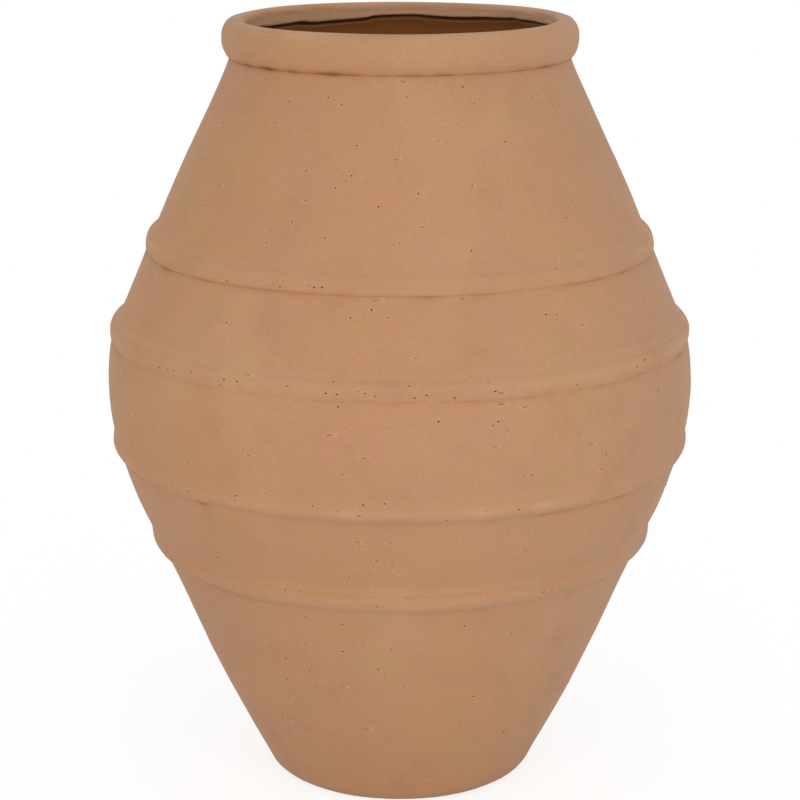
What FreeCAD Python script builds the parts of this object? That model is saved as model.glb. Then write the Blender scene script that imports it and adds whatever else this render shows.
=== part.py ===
import FreeCAD, Part
import math
import os

# A tall clay storage jar with a bellied body, built up on a floor disc from wide rings of clay: the strakes.
# The joints are tongue and groove. A clay band hides each joint outside, and a seam coil closes it inside.
# Sizes are in millimetres. The origin is on the ground in the middle of the floor, and +Z runs up the axis.

# Heights, from the ground up. Together they make the height of the jar.
floor_thickness = 20.0
foot_strake_height = 242.0
lower_belly_strake_height = 102.0
belly_strake_height = 121.0
shoulder_strake_height = 92.5
neck_strake_height = 184.0
rim_height = 38.5

# Outer radii of the bare wall, on the ground and at the joints. The belly strake is as wide below as above.
foot_radius = 134.9
floor_joint_radius = 145.6
foot_joint_radius = 256.7
belly_radius = 296.9
shoulder_joint_radius = 256.4
neck_joint_radius = 173.2

# How far the middle of each strake swells out beyond a straight line between its two joints.
foot_strake_swell = 3.6
lower_belly_strake_swell = 3.4
belly_strake_swell = 7.4
shoulder_strake_swell = 0.0
neck_strake_swell = 0.9

wall_thickness = 14.0

# The rounding of the foot, and the most of the foot's side that it may take.
foot_rounding = 18.5
rounding_share = 0.98

# A tongue stands up in the middle of each strake's top edge, and the piece above is grooved to match.
# At the floor it is the other way round: the disc is grooved, and the foot strake's tongue points down.
tongue_width = 7.0
tongue_height = 6.0

# Bands outside the joints: the height of wall that each one covers, and how far it stands out at the joint.
foot_band_width = 27.0
foot_band_relief = 5.4
lower_belly_band_width = 22.5
lower_belly_band_relief = 3.6
belly_band_width = 27.0
belly_band_relief = 4.8
shoulder_band_width = 25.0
shoulder_band_relief = 5.0

# Thin coils pressed into the joints from inside.
seam_coil_width = 24.0
seam_coil_relief = 3.6
floor_coil_leg = 22.0
floor_coil_hollow = 3.5

# The rim stands out from the wall on a collar, is widest some way below its crest, and is flat on top.
# Inside, a straight-faced lip overhangs, and the collar is set back beneath it.
rim_overhang = 8.2
rim_width = 23.0
rim_shoulder_drop = 19.0
rim_shoulder_swell = 4.6
collar_swell = 2.6
lip_rounding = 4.5
lip_face_height = 8.5
lip_overhang = 8.0
recess_rounding = 6.0

# How deep a band or coil is drawn into the wall before the wall is cut away from it.
drawn_depth = 6.0


def point(radius, height):
    return FreeCAD.Vector(radius, 0, height)


def out_of(start, end):
    """The unit direction square to the line from start up to end, pointing away from the axis."""
    along = end - start
    return point(along.z, -along.x).normalize()


def swelled_line(start, end, swell):
    """An arc whose middle stands out from the straight line by swell, or the line itself for no swell."""
    if abs(swell) < 0.001:
        return Part.LineSegment(start, end).toShape()
    middle = (start + end) * 0.5 + out_of(start, end) * swell
    return Part.Arc(start, middle, end).toShape()


def corner_line(points):
    return [Part.LineSegment(a, b).toShape() for a, b in zip(points, points[1:])]


def face_of(edges):
    return Part.Face(Part.Wire(Part.sortEdges(edges)[0]))


def spin(face):
    """Turns a flat section once round the axis of the jar."""
    return face.revolve(FreeCAD.Vector(0, 0, 0), FreeCAD.Vector(0, 0, 1), 360)


def at_height(edge, height):
    """The point of a wall line that lies at the given height."""
    box = edge.BoundBox
    level = Part.makeLine(point(box.XMin - 1, height), point(box.XMax + 1, height))
    return edge.distToShape(level)[1][0][0]


def joint_line(outer, inner, tip_height):
    """The line across the wall from its outer to its inner face, over or under the tongue."""
    across = (inner - outer).normalize()
    up = point(across.z, -across.x)
    middle = (outer + inner) * 0.5
    half_tongue = across * (tongue_width / 2)
    tip = middle + up * tip_height
    return corner_line([outer, middle - half_tongue, tip, middle + half_tongue, inner])


strake_sizes = [
    ("foot_strake", foot_strake_height, foot_joint_radius, foot_strake_swell),
    ("lower_belly_strake", lower_belly_strake_height, belly_radius, lower_belly_strake_swell),
    ("belly_strake", belly_strake_height, belly_radius, belly_strake_swell),
    ("shoulder_strake", shoulder_strake_height, shoulder_joint_radius, shoulder_strake_swell),
    ("neck_strake", neck_strake_height, neck_joint_radius, neck_strake_swell),
]

# Outer joint points, from the floor joint up to the rim joint.
outer_points = [point(floor_joint_radius, floor_thickness)]
for name, height, radius, swell in strake_sizes:
    outer_points.append(point(radius, outer_points[-1].z + height))

# Outward directions of the strakes, and the inner joint points one wall thickness behind the outer ones.
# The floor and rim joints lie level, and the joints between two strakes halve the angle between them.
slopes = [out_of(a, b) for a, b in zip(outer_points, outer_points[1:])]
inner_points = [outer_points[0] - point(wall_thickness / slopes[0].x, 0)]
for below, above, outer in zip(slopes, slopes[1:], outer_points[1:]):
    between = (below + above).normalize()
    inner_points.append(outer - between * (wall_thickness / between.dot(below)))
inner_points.append(outer_points[-1] - point(wall_thickness / slopes[-1].x, 0))

tip_heights = [-tongue_height] + [tongue_height] * len(strake_sizes)
joint_lines = [joint_line(*ends) for ends in zip(outer_points, inner_points, tip_heights)]
outer_lines = [swelled_line(a, b, s[3]) for a, b, s in zip(outer_points, outer_points[1:], strake_sizes)]
inner_lines = [swelled_line(a, b, s[3]) for a, b, s in zip(inner_points, inner_points[1:], strake_sizes)]

rim_joint_height = outer_points[-1].z
jar_height = rim_joint_height + rim_height


def strake_section(number):
    faces = [outer_lines[number], inner_lines[number]]
    return face_of(joint_lines[number] + faces + joint_lines[number + 1])


strake_sections = [strake_section(number) for number in range(len(strake_sizes))]
floor_corners = [point(foot_radius, 0), point(0, 0), point(0, floor_thickness)]
floor_faces = corner_line([outer_points[0]] + floor_corners + [inner_points[0]])
floor_section = face_of(floor_faces + joint_lines[0])


def floor_disc():
    """A thick disc whose edge carries the foot strake, rounded where it meets the ground."""
    disc = spin(floor_section)
    ground_edges = [edge for edge in disc.Edges if edge.BoundBox.ZMax < 0.001 and edge.Length > foot_radius]
    side = outer_points[0] - floor_corners[0]
    largest_rounding = side.Length * math.tan(side.getAngle(point(-1, 0)) / 2)
    return disc.makeFillet(min(foot_rounding, rounding_share * largest_rounding), ground_edges)


def floor_coil():
    """A coil pressed into the angle between the floor and the wall, hollowed by the thumb."""
    corner = inner_points[0]
    toe = corner - point(floor_coil_leg, 0)
    top = at_height(inner_lines[0], floor_thickness + floor_coil_leg)
    hollow = swelled_line(toe, top, floor_coil_hollow)
    behind = [top, top + point(drawn_depth, 0), corner + point(drawn_depth, 0), toe]
    return spin(face_of([hollow] + corner_line(behind)).cut(strake_sections[0]).cut(floor_section))


def strip(number, joints, wall_lines, width, relief):
    """A strip of clay laid along the joint above strake number, with a round crest.

    It bends with the wall and covers width of its height. It stands inwards where relief is negative.
    """
    joint = joints[number + 1]
    low = at_height(wall_lines[number], joint.z - width / 2)
    high = at_height(wall_lines[number + 1], joint.z + width / 2)
    out = (slopes[number] + slopes[number + 1]).normalize()
    crest = joint + out * relief
    # Each half of a low arc rises a quarter as far from its own chord as the whole arc does.
    face = [swelled_line(low, crest, relief / 4), swelled_line(crest, high, relief / 4)]
    back = out * -math.copysign(drawn_depth, relief)
    section = face_of(face + corner_line([high, high + back, joint + back, low + back, low]))
    return spin(section.cut(strake_sections[number]).cut(strake_sections[number + 1]))


def band(number, width, relief):
    return strip(number, outer_points, outer_lines, width, relief)


def seam_coil(number):
    return strip(number, inner_points, inner_lines, seam_coil_width, -seam_coil_relief)


def quarter_round(start, middle, end):
    """A quarter circle from start to end, which are level with its middle or straight above it."""
    halfway = ((start - middle) + (end - middle)) * math.sqrt(0.5)
    return Part.Arc(start, middle + halfway, end).toShape()


def rim():
    """The rim in one coil: collar, shoulder, crest, and the lip that overhangs the inside."""
    rim_radius = neck_joint_radius + rim_overhang
    mouth_radius = rim_radius - rim_width
    recess_radius = mouth_radius + lip_overhang
    lip_edge_height = jar_height - lip_rounding - lip_face_height

    shoulder = point(rim_radius, jar_height - rim_shoulder_drop)
    crest = point(mouth_radius + rim_width / 2, jar_height)
    crest_edge = point(mouth_radius + lip_rounding, jar_height)
    lip_face = point(mouth_radius, lip_edge_height + lip_face_height)
    lip_edge = point(mouth_radius, lip_edge_height)
    recess_top = point(recess_radius - recess_rounding, lip_edge_height)
    recess_side = point(recess_radius, lip_edge_height - recess_rounding)

    outside = [swelled_line(outer_points[-1], shoulder, collar_swell)]
    outside += [swelled_line(shoulder, crest, rim_shoulder_swell)]
    inside = corner_line([crest, crest_edge])
    inside += [quarter_round(crest_edge, point(crest_edge.x, lip_face.z), lip_face)]
    inside += corner_line([lip_face, lip_edge, recess_top])
    inside += [quarter_round(recess_top, point(recess_top.x, recess_side.z), recess_side)]
    inside += corner_line([recess_side, inner_points[-1]])
    return spin(face_of(outside + inside + joint_lines[-1]))


parts = {"floor_disc": floor_disc(), "floor_coil": floor_coil()}
for number, (name, height, radius, swell) in enumerate(strake_sizes):
    parts[name] = spin(strake_sections[number])
parts["foot_band"] = band(0, foot_band_width, foot_band_relief)
parts["lower_belly_band"] = band(1, lower_belly_band_width, lower_belly_band_relief)
parts["belly_band"] = band(2, belly_band_width, belly_band_relief)
parts["shoulder_band"] = band(3, shoulder_band_width, shoulder_band_relief)
for number, place in enumerate(("foot", "lower_belly", "belly", "shoulder")):
    parts[place + "_seam_coil"] = seam_coil(number)
parts["rim"] = rim()

os.makedirs("parts", exist_ok=True)
for name, shape in parts.items():
    shape.exportStep("parts/" + name + ".step")
    print(name, shape.isValid(), len(shape.Solids), "solid", round(shape.Volume / 1000), "cm3")
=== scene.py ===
import math
import bmesh
import bpy
import numpy as np
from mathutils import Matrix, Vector
from mathutils.kdtree import KDTree


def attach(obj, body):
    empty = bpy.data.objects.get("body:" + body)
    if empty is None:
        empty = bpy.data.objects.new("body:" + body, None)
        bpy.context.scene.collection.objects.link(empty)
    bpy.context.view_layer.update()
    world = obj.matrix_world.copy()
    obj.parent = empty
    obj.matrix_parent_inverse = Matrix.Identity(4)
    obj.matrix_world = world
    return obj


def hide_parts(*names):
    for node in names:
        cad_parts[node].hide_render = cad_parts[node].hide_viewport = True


# A tall storage jar of plain terracotta, built by hand from wide rings of clay.
# Everything is in metres. The ground is z = 0 and the axis of the jar is x = y = 0.
# Azimuth 0 is the front of the jar, and azimuth grows to the right.

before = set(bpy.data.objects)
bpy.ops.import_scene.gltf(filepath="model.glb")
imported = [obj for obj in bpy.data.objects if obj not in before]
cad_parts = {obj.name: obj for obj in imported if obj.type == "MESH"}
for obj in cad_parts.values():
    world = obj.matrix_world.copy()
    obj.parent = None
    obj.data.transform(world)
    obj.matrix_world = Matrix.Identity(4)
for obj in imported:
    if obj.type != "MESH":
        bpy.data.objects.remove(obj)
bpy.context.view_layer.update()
print("frame loaded,", len(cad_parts), "clay pieces")

# What all pieces share, and how far hand building leaves the clay from a true round.
clayBody = {
    "height": 0.8,
    "wall": 0.014,  # thickness of the wall
    "columns": 640,  # columns of faces round the jar
    "sharpAngle": 50,  # in degrees: the shading breaks at edges sharper than this
    "outOfRound": 0.0005,
    "handDents": 0.00024,
    "fingerLumps": 0.00007,
    "turningLines": 0.00005,
    "wanderReach": 0.016,  # how far from a joint the wall goes along with its wander
    "insideShadeLeast": 0.4,  # painted shade: how dark the inside is low down
    "insideShadeFrom": 0.70,  # where the painted shade starts to deepen towards the lip
    "insideShadeOver": 0.08,
}

# Each look has its own seed. These are added to it, so that no two kinds of mark fall alike.
seedSteps = {
    "thickness": 20,
    "quickWander": 40,
    "alongJoint": 60,
    "quickAlong": 61,
    "chips": 80,
    "pits": 500,
    "scuffs": 900,
}

# The clay strips over the joints. A strip has a clear lower edge, and its top is smoothed into the wall.
# low and high are its edges, and relief is how far it stands out at its crest.
# crest is the part of the way up where that is, and edge is 0.5 for a steep lower edge, 1 for a soft one.
# wander is how far it strays up and down, and groove how deep the open joint under it is.
# topShadeLine is how dark a painted shade line near its top is, and litTop how far painted light lifts
# the clay there.
# rubbed (how pale the crest is, from wear and a painted highlight) and gape (how far the joint stands
# open, and how dark its painted shade is) go by azimuth in degrees, over the front.
footBand = {
    "low": 0.2486, "high": 0.2825, "relief": 0.0052, "crest": 0.42, "edge": 0.95,
    "wander": 0.0004, "groove": 0.0002, "chips": 34, "seed": 21, "topShadeLine": 0.10, "litTop": 0.0,
    "rubbedAndLit": [(-60, 0.15), (-28, 0.2), (-19, 0.5), (0, 0.35), (14, 0.5), (24, 0.35), (34, 0.05),
               (60, 0.1)],
    "gape": [(-60, 0.4), (-44, 0.6), (-36, 0.6), (-28, 0.2), (-18, 0.05), (-10, 0.2), (0, 0.1),
             (5, 0.7), (9, 0.7), (15, 0.6), (22, 0.25), (34, 0.1), (44, 0.5), (60, 0.3)],
}
lowerBellyBand = {
    "low": 0.3530, "high": 0.3830, "relief": 0.0038, "crest": 0.38, "edge": 0.98,
    "wander": 0.0004, "groove": 0.0003, "chips": 30, "seed": 22, "topShadeLine": 0.0, "litTop": 0.0,
    "rubbedAndLit": [(-60, 0.1), (-34, 0.4), (-28, 0.6), (-20, 0.2), (-9, 0.55), (0, 0.8), (6, 0.4),
               (12, 0.7), (20, 1.0), (28, 0.9), (36, 0.3), (60, 0.1)],
    "gape": [(-60, 0.3), (-43, 0.4), (-41, 1.3), (-38, 0.3), (-31, 0.1), (-23, 0.25), (-10, 0.35),
             (-3, 0.4), (5, 0.45), (12, 0.0), (17, 0.4), (20, 0.3), (28, 0.9), (36, 0.6), (46, 1.4),
             (52, 0.3), (60, 0.1)],
}
bellyBand = {
    "low": 0.4730, "high": 0.5030, "relief": 0.0048, "crest": 0.48, "edge": 0.92,
    "wander": 0.0005, "groove": 0.0002, "chips": 60, "seed": 23, "topShadeLine": 0.0, "litTop": 0.50,
    "rubbedAndLit": [(-60, 0.1), (-30, 0.1), (-24, 0.15), (-16, 0.25), (-8, 0.1), (8, 0.03), (14, 0.1),
               (20, 0.4), (26, 0.55), (35, 0.75), (45, 0.6), (56, 0.2)],
    "gape": [(-65, 0.15), (-48, 0.05), (-30, 0.1), (-26, 0.2), (-22, 0.0), (-18, 0.15), (-14, 0.05),
             (-9, 0.2), (0, 0.5), (5, 0.1), (12, 0.65), (20, 0.7), (28, 0.4), (36, 0.45), (45, 0.55),
             (60, 0.1)],
}
shoulderBand = {
    "low": 0.5658, "high": 0.5950, "relief": 0.0047, "crest": 0.46, "edge": 0.62,
    "wander": 0.0004, "groove": 0.0004, "chips": 20, "seed": 24, "topShadeLine": 0.0, "litTop": 0.38,
    "rubbedAndLit": [(-60, 0.1), (-20, 0.1), (0, 0.03), (8, 0.2), (15, 0.2), (25, 0.1), (60, 0.05)],
    "gape": [(-64, 0.9), (-47, 0.9), (-38, 0.5), (-32, 0.55), (-27, 0.45), (-22, 0.8), (-17, 0.3),
             (-12, 0.75), (-8, 0.4), (0, 0.2), (4, 0.5), (7, 0.85), (10, 0.55), (15, 0.7), (21, 0.1),
             (35, 0.0), (39, 0.7), (44, 0.5), (50, 0.8), (56, 0.9), (60, 0.4)],
}
bandLooks = [footBand, lowerBellyBand, bellyBand, shoulderBand]

# What the strips have in common. Pairs are a place up the strip and a reach, as parts of its width,
# except where lumps are named: there they are the lumps round the jar and their strength.
stripLook = {
    "edgeRings": (0, 0.006, 0.02, 0.045, 0.075, 0.11),  # close rings of points at the lower edge
    "evenRings": (0.15, 1, 20),  # the rings above them: from, to and how many
    "backRings": (1.0, 0.66, 0.33, 0.02),
    "backDepth": 0.004,  # how deep the back is pressed into the wall
    "topSink": 0.03,  # how far the top edge goes under the wall's skin
    "slowWanderLumps": (14, 0.75),
    "quickWanderLumps": (90, 0.35),
    "thicknessLumps": (22, 0.10),
    "chipDepth": 0.45,
    "chipCut": (0, 0.16),
    "chipWorn": (0, 0.14),
    "chipPale": 0.7,
    "edgeWorn": (0.10, 0.09),
    "edgePale": 0.15,
    # where the crest's wear and painted highlight, the painted light near the top and the painted shade
    # line lie; then the painted shade along the lower edge and how dark it gets
    "rubbedAndLitAt": (0.36, 0.16),
    "litTopAt": (0.74, 0.14),
    "topShadeLineAt": (0.68, 0.035),
    "seamAt": (0, 0.045),
    "seamDark": 0.20,
    "mostDark": 0.9,
    "seenInset": (0.001, 0.003),  # how far seen pits, other pits and scuffs keep from the edges
    "pitInset": (0.001, 0.006),
    "scuffInset": (0.002, 0.005),
    "widestPit": 3.0,
    "frontShare": 0.4,
}


def splineWeights(t):
    return (
        (1 - t) ** 3 / 6,
        (3 * t**3 - 6 * t**2 + 4) / 6,
        (-3 * t**3 + 3 * t**2 + 3 * t + 1) / 6,
        t**3 / 6,
    )


def clayField(seed, lumpsAround, lumpsUp):
    # a smooth random field over azimuth and height that closes on itself round the jar
    grid = np.random.default_rng(seed).standard_normal((lumpsUp + 4, lumpsAround))

    def valueAt(azimuth, height):
        u = (azimuth / (2 * math.pi)) % 1.0 * lumpsAround
        v = np.clip(height / clayBody["height"], 0, 1) * lumpsUp
        column, row = np.floor(u).astype(int), np.floor(v).astype(int)
        s, t = u - column, v - row
        value = 0
        for i, a in enumerate(splineWeights(s)):
            for j, b in enumerate(splineWeights(t)):
                value = value + a * b * grid[row + j, (column + i) % lumpsAround]
        return value * 1.7  # smoothing flattens the field, and this brings it back to about 1

    return valueAt


def roundTheJar(seed, lumps):
    # a smooth random value for each column of points
    return clayField(seed, lumps, 1)(around, 0 * around)


def bell(value, middle, reach):
    return np.exp(-(((value - middle) / reach) ** 2))


# The azimuth of each column of points, in radians, and in degrees from -180 to 180.
around = (np.arange(clayBody["columns"]) * 2 * math.pi / clayBody["columns"])[None, :]
aroundDegrees = (np.degrees(around) + 180) % 360 - 180

outOfRound = clayField(1, 5, 3)
handDents = clayField(2, 42, 19)
fingerLumps = clayField(3, 170, 80)
turningLines = clayField(4, 11, 260)


def bandWander(look):
    slowLumps, slowShare = stripLook["slowWanderLumps"]
    quickLumps, quickShare = stripLook["quickWanderLumps"]
    slow = roundTheJar(look["seed"], slowLumps)
    quick = roundTheJar(look["seed"] + seedSteps["quickWander"], quickLumps)
    return look["wander"] * (slowShare * slow + quickShare * quick)


def handMade(radius, height, share=1.0):
    # moves true round points to where the potter's hands left them
    stray = clayBody["outOfRound"] * outOfRound(around, height)
    stray = stray + share * clayBody["handDents"] * handDents(around, height)
    stray = stray + share * clayBody["fingerLumps"] * fingerLumps(around, height)
    stray = stray + share * clayBody["turningLines"] * turningLines(around, height)
    rise = 0
    for look in bandLooks:
        nearness = np.clip(1 - np.abs(height - look["low"]) / clayBody["wanderReach"], 0, 1)
        rise = rise + nearness * bandWander(look)
    return radius + stray, height + rise


def insideShade(height):
    # painted shade: the inside is darkest just under the lip, which shades it, and less dark lower down
    least = clayBody["insideShadeLeast"]
    return np.clip(least + (height - clayBody["insideShadeFrom"]) / clayBody["insideShadeOver"], least, 1)


def smoothLine(points):
    # radius as a smooth function of height through (height, radius) points
    heights, radii = np.array(points).T
    slopes = np.gradient(radii, heights)

    def radiusAt(height):
        i = np.clip(np.searchsorted(heights, height) - 1, 0, len(heights) - 2)
        width = heights[i + 1] - heights[i]
        t = (height - heights[i]) / width
        start = radii[i] * (1 + 2 * t) * (1 - t) ** 2 + slopes[i] * width * t * (1 - t) ** 2
        end = radii[i + 1] * t**2 * (3 - 2 * t) + slopes[i + 1] * width * t**2 * (t - 1)
        return start + end

    return radiusAt


def outwards(line, height):
    # the direction square to a wall line
    step = 0.0005
    slope = (line(height + step) - line(height - step)) / (2 * step)
    length = np.sqrt(1 + slope**2)
    return 1 / length, -slope / length


def curveThrough(points, step):
    # a smooth open curve through the points, with a point about every step
    points = np.array(points, float)
    ahead = np.vstack([2 * points[0] - points[1], points, 2 * points[-1] - points[-2]])
    curve = []
    for a, b, c, d in zip(ahead, ahead[1:], ahead[2:], ahead[3:]):
        for t in np.arange(0, 1, 1 / max(1, round(np.linalg.norm(c - b) / step))):
            bend = (2 * a - 5 * b + 4 * c - d) * t**2
            curve.append(0.5 * (2 * b + (c - a) * t + bend + (3 * b - a - 3 * c + d) * t**3))
    return np.array(curve + [points[-1]])


def addObject(name, data):
    made = bpy.data.objects.new(name, data)
    bpy.context.scene.collection.objects.link(made)
    return made


def ringPiece(name, radius, height, hollowShade, wornAndLit, inside=0.0, closed=True):
    # a body of rings: one row of the arrays for each ring, one column for each azimuth
    rows, columns = radius.shape
    height = height * np.ones_like(radius)
    points = np.stack([radius * np.sin(around), -radius * np.cos(around), height], -1)
    points = points.reshape(-1, 3)
    index = np.arange(rows * columns).reshape(rows, columns)
    below = index if closed else index[:-1]
    above = np.roll(index, -1, 0) if closed else index[1:]
    right = np.roll(below, -1, 1), np.roll(above, -1, 1)
    faces = np.stack([below, right[0], right[1], above], -1).reshape(-1, 4)
    mesh = bpy.data.meshes.new(name)
    mesh.vertices.add(len(points))
    mesh.vertices.foreach_set("co", points.ravel())
    mesh.loops.add(faces.size)
    mesh.loops.foreach_set("vertex_index", faces.ravel())
    mesh.polygons.add(len(faces))
    mesh.polygons.foreach_set("loop_start", np.arange(0, faces.size, 4))
    mesh.update(calc_edges=True)
    for label, value in (("hollowShade", hollowShade), ("wornAndLit", wornAndLit), ("inside", inside)):
        layer = mesh.attributes.new(label, "FLOAT", "POINT")
        layer.data.foreach_set("value", (value * np.ones_like(radius)).ravel().astype(np.float32))
    return addObject(name, mesh)


def closeEnds(piece):
    # closes the open first and last rings of a piece with a fan round a middle point
    body = bmesh.new()
    body.from_mesh(piece.data)
    openEdges = [edge for edge in body.edges if edge.is_boundary]
    made = bmesh.ops.holes_fill(body, edges=openEdges, sides=0)["faces"]
    bmesh.ops.poke(body, faces=made)
    body.to_mesh(piece.data)
    body.free()


# Air pits in the skin. Widths and depths of pits and scuffs are in mm.
pitLook = {
    "cuts": 5,  # how finely the skin is divided round a pit
    "cutReach": 0.0024,  # and how far past its edge, in metres
    "slides": 6,  # steps along the skin to the pit's own place
    "lean": 0.35,
    "lobes": ((2, 0.16), (3, 0.13), (5, 0.08)),  # bulges round its edge, and how big they are
    "roundness": 0.7,  # smaller is a flatter bottom with steeper sides
    # painted shade in the pits: how dark, what depth adds, and how it spreads from the middle
    "dark": 0.32,
    "darkDeep": 1.4,  # what depth adds to the darkness
    "darkEdge": 1.6,
    "darkSpread": 1.5,
    "rimAt": 1.35,  # the raised rim: place and reach, in half widths of the pit
    "rimReach": 0.3,
    "rimEnd": 2.0,
    "rimLift": 0.00022,
    # painted highlight on the raised rim, stronger on one side
    "rimHighlight": 0.4,
    "rimHighlightSide": 1.3,  # what one side has more
    "smallest": 1.6,
    "depths": (0.2, 0.5),  # as parts of the width
    "flatness": (0.5, 0.95),
    "frontHalf": 66,  # in degrees: how far round the seen pits go
}
scuffLook = {
    "widths": (4, 9),
    "depths": (0.10, 0.28),
    "flatness": (0.14, 0.3),
}


def carvePits(piece, pits, seed=0):
    # pits and scuffs in the outer skin: azimuth in degrees, height, width and depth in mm, flatness
    body = bmesh.new()
    body.from_mesh(piece.data)
    body.faces.ensure_lookup_table()
    faceTree = KDTree(len(body.faces))
    for face in body.faces:
        faceTree.insert(face.calc_center_median(), face.index)
    faceTree.balance()
    places = []
    for azimuth, height, width, depth, flat in pits:
        turn = math.radians(azimuth)
        away = Vector((math.sin(turn), -math.cos(turn), 0))
        nearest = faceTree.find(away * 0.32 + Vector((0, 0, height)))  # from outside the jar
        for slide in range(pitLook["slides"]):
            radius = Vector((nearest[0].x, nearest[0].y, 0)).length
            nearest = faceTree.find(away * radius + Vector((0, 0, height)))
        radius = Vector((nearest[0].x, nearest[0].y, 0)).length
        places.append((away * radius + Vector((0, 0, height)), width / 1000, depth / 1000, flat))
    cutEdges = set()
    for centre, width, depth, flat in places:
        for _, index, _ in faceTree.find_range(centre, width / 2 + pitLook["cutReach"]):
            cutEdges.update(body.faces[index].edges)
    bmesh.ops.subdivide_edges(body, edges=list(cutEdges), cuts=pitLook["cuts"], use_grid_fill=True)
    body.normal_update()
    body.verts.ensure_lookup_table()
    pointTree = KDTree(len(body.verts))
    for vert in body.verts:
        pointTree.insert(vert.co, vert.index)
    pointTree.balance()
    hollowShade = body.verts.layers.float["hollowShade"]
    wornAndLit = body.verts.layers.float["wornAndLit"]
    chance = np.random.default_rng(seed + seedSteps["pits"])
    for centre, width, depth, flat in places:
        across = Vector((-centre.y, centre.x, 0)).normalized()
        lean = chance.uniform(-pitLook["lean"], pitLook["lean"])
        dark = min(1, pitLook["dark"] + pitLook["darkDeep"] * depth / width)
        lobes = [(count, chance.uniform(0, 6.3), size) for count, size in pitLook["lobes"]]
        for co, index, _ in pointTree.find_range(centre, width * 0.95 + 0.0006):
            vert = body.verts[index]
            away = vert.normal
            offset = co - centre
            x = offset.dot(across)
            y = (offset - across * x).length * (1 if offset.z > 0 else -1)
            x, y = x + lean * y, y - lean * x * 0.5
            turn = math.atan2(y, x)
            ragged = 1 + sum(size * math.sin(count * turn + start) for count, start, size in lobes)
            reach = math.hypot(x / (width / 2), y / (width / 2 * flat)) * ragged
            if reach < 1:
                vert.co = vert.co - away * depth * (1 - reach**2) ** pitLook["roundness"]
                # painted shade in the pit
                shade = pitLook["darkSpread"] * (1 - reach ** pitLook["darkEdge"])
                vert[hollowShade] = max(vert[hollowShade], dark * min(1, shade))
            elif reach < pitLook["rimEnd"]:
                lift = math.exp(-(((reach - pitLook["rimAt"]) / pitLook["rimReach"]) ** 2))
                oneSided = 0.5 + 0.5 * math.sin(turn - lobes[0][1])
                vert.co = vert.co + away * pitLook["rimLift"] * lift * oneSided
                # a painted highlight on one side of the raised rim
                pale = pitLook["rimHighlight"] + pitLook["rimHighlightSide"] * oneSided
                vert[wornAndLit] = max(vert[wornAndLit], pale * lift)
    body.to_mesh(piece.data)
    body.free()


def scatteredPits(seed, count, low, high, widest, frontShare=1.0):
    # chance pits all round, thinned out on the front, where the seen ones are
    chance = np.random.default_rng(seed)
    smallest = pitLook["smallest"]
    pits = []
    while len(pits) < count:
        azimuth = chance.uniform(-180, 180)
        if abs(azimuth) < pitLook["frontHalf"] and chance.uniform() > frontShare:
            continue
        width = smallest + (widest - smallest) * chance.uniform() ** 2.0
        depth = width * chance.uniform(*pitLook["depths"])
        height = chance.uniform(low, high)
        pits.append((azimuth, height, width, depth, chance.uniform(*pitLook["flatness"])))
    return pits


def scuffs(seed, count, low, high):
    # short level scratches and dents left when the wet clay was smoothed
    chance = np.random.default_rng(seed + seedSteps["scuffs"])
    spans = (-180, 180), (low, high), scuffLook["widths"], scuffLook["depths"], scuffLook["flatness"]
    return [tuple(chance.uniform(*span) for span in spans) for scuff in range(count)]


def finishPiece(piece, node, slot):
    mesh = piece.data
    mesh.polygons.foreach_set("use_smooth", np.ones(len(mesh.polygons), bool))
    mesh.set_sharp_from_angle(angle=math.radians(clayBody["sharpAngle"]))
    mesh.materials.append(clays[slot])
    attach(piece, "root")
    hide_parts(node)
    print("  ", piece.name, len(mesh.polygons), "faces")


# The clay's colours, the sizes of its marks in metres, and how strongly each colour takes part.
terracottaLook = {
    "pale": (0.560, 0.309, 0.161),
    "warm": (0.545, 0.281, 0.132),
    "dusky": (0.487, 0.253, 0.134),
    "rosy": (0.530, 0.271, 0.140),
    "coolPale": (0.535, 0.307, 0.181),
    # rubbed is pale for wear and for painted highlights and painted light; the next three are painted
    # shade: in the joints, in the pits and inside the jar
    "rubbedAndLit": (0.650, 0.375, 0.210),
    "seamShadeColour": (0.470, 0.205, 0.075),
    "pitShadeColour": (0.085, 0.028, 0.008),
    "insideShadeColour": (0.270, 0.096, 0.018),
    "olive": (0.991, 1.010, 0.981),
    "blush": (1.009, 0.989, 1.022),
    "cloudSize": 0.16,
    "paleClouds": 0.85,
    "coolSide": (-0.15, 0.30, 0.45),  # from x, to x, strength
    "patchSize": 0.045,
    "duskyPatches": 0.65,
    "smearSize": 0.012,
    "paleSmears": 0.30,
    "wideBlotches": 0.045,
    "narrowBlotches": 0.015,
    "speckSize": 0.0016,
    "speckStrength": 0.08,
    "sandPerMetre": 260.0,
    "darkSand": 0.55,
    "paleSand": 0.35,
    "rubbedAndLitStrength": 0.55,
    "insideShadeOwnShare": 0.25,
    "grainSize": 0.0009,
    "grainRelief": 0.00016,
    "lumpSize": 0.006,
    "lumpRelief": 0.0007,
    "scrapeSize": 0.0016,
    "scrapeRelief": 0.00016,
    "sandRelief": -0.0002,
    "roughness": 0.88,
    "roughnessSpread": 0.06,
    "specular": 0.25,
    "sheen": 0.12,
    "bump": 1.0,
}
insideLook = dict(terracottaLook, bump=1.6)


def emptyTree(owner):
    owner.use_nodes = True
    owner.node_tree.nodes.clear()
    return owner.node_tree


def addNode(tree, kind, sockets={}, **settings):
    # sockets gives inputs, by name or number, a number, a colour or the output of another node
    node = tree.nodes.new(kind)
    for name, value in settings.items():
        setattr(node, name, value)
    for name, value in sockets.items():
        socket = node.inputs[name]
        if isinstance(value, bpy.types.NodeSocket):
            tree.links.new(value, socket)
        else:
            socket.default_value = (*value, 1) if socket.type == "RGBA" else value
    return node


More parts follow.
